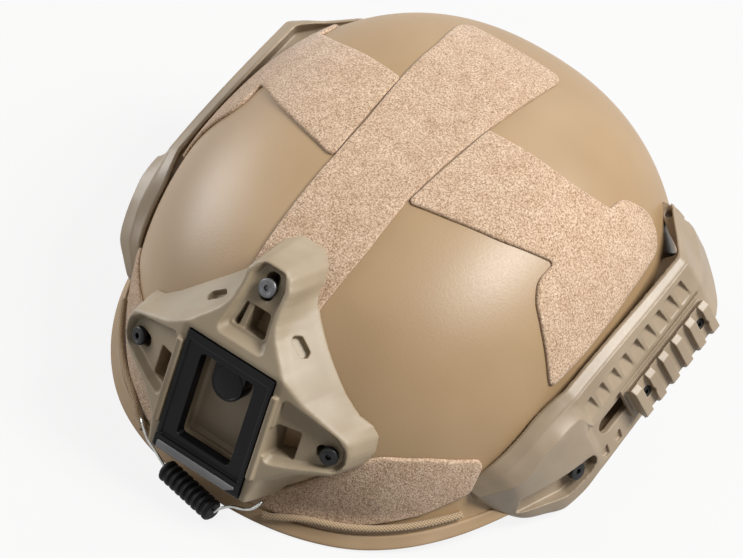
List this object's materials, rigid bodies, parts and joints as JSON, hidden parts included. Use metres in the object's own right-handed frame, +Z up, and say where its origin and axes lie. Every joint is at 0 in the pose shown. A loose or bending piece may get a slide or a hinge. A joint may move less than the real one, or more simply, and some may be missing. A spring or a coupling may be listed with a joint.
{
  "type": "airsoft helmet",
  "caption": "High cut bump helmet with front accessory mount plate, slotted side rails, a sliding accessory rail, loop panels, bungee cords, padded liner, dial fit and chin strap",
  "frame": {"origin": "On the surface that the helmet stands on, in its middle plane and half way between its front and its rear", "axes": "-Y is the front of the helmet, +X the wearer's left, +Z up; the helmet stands on its front brim and its nape"},
  "size_m": [0.2584, 0.2843, 0.1468],
  "materials": {
    "shell_paint": "satin",
    "trim_rubber": "matte",
    "loop_fabric": "fuzzy",
    "tan_polymer": "fine grained",
    "black_polymer": "satin",
    "grey_screw": "zinc plated",
    "black_screw": "black oxide",
    "plain_steel": "plain",
    "tan_cord": "braided",
    "black_rubber": "matte",
    "black_foam": "closed cell foam",
    "pad_fabric": "brushed knit",
    "webbing": "woven"
  },
  "bodies": {
    "helmet": {"shell": "shell_paint", "edge_trim": "trim_rubber", "loop_crown": "loop_fabric", "loop_side_left": "loop_fabric", "loop_side_right": "loop_fabric", "loop_brow_left": "loop_fabric", "loop_brow_right": "loop_fabric", "loop_nape": "loop_fabric", "shroud_body": "tan_polymer", "shroud_insert": "black_polymer", "insert_boss": "black_polymer", "shroud_screw_top": "grey_screw", "shroud_screws_lower": "black_screw", "shroud_nuts": "plain_steel", "rail_left": "tan_polymer", "rail_right": "tan_polymer", "rail_screws": "black_screw", "rail_nuts": "plain_steel", "bungee_left": "tan_cord", "bungee_right": "tan_cord", "bungee_sleeve": "black_rubber", "wire_hook_left": "plain_steel", "wire_hook_right": "plain_steel", "liner_crown": "black_foam", "liner_front": "black_foam", "liner_rear": "black_foam", "liner_left": "black_foam", "liner_right": "black_foam", "pad_crown": "pad_fabric", "pad_front": "pad_fabric", "pad_rear": "pad_fabric", "pad_left": "pad_fabric", "pad_right": "pad_fabric", "headband": "black_polymer", "strap_tabs": "black_polymer", "strap_left": "webbing", "strap_right": "webbing", "slider_left": "black_polymer", "slider_right": "black_polymer", "chin_strap_left": "webbing", "chin_strap_right": "webbing", "buckle_socket": "black_polymer", "chin_cup": "black_polymer"},
    "adapter_left": {"adapter_left": "tan_polymer", "adapter_screws_left": "black_screw", "clamp_left": "plain_steel"},
    "nape_rest": {"nape_cradle": "black_polymer", "nape_pad": "pad_fabric", "dial_housing": "black_polymer"},
    "dial": {"dial_knob": "black_polymer"},
    "plug": {"buckle_plug": "black_polymer"}
  },
  "joints": [
    {"name": "adapter_left_slide", "type": "slide", "parent": "helmet", "child": "adapter_left", "axis": [0, 0.9135, 0.4067], "range_m": [-0.0185, 0.002]},
    {"name": "nape_tighten", "type": "slide", "parent": "helmet", "child": "nape_rest", "axis": [0, -0.9781, -0.2079], "range_m": [0, 0.01]},
    {"name": "dial_turn", "type": "hinge", "parent": "nape_rest", "child": "dial", "pos_m": [0, 0.125, 0.02192], "axis": [0, 0.9781, 0.2079], "range_deg": [0, 360]},
    {"name": "plug_slide", "type": "slide", "parent": "helmet", "child": "plug", "axis": [1, 0, 0], "range_m": [-0.013, 0]}
  ],
  "couplings": [
    {"joint": "dial_turn", "follows": "nape_tighten", "rad_per_m": 628}
  ]
}
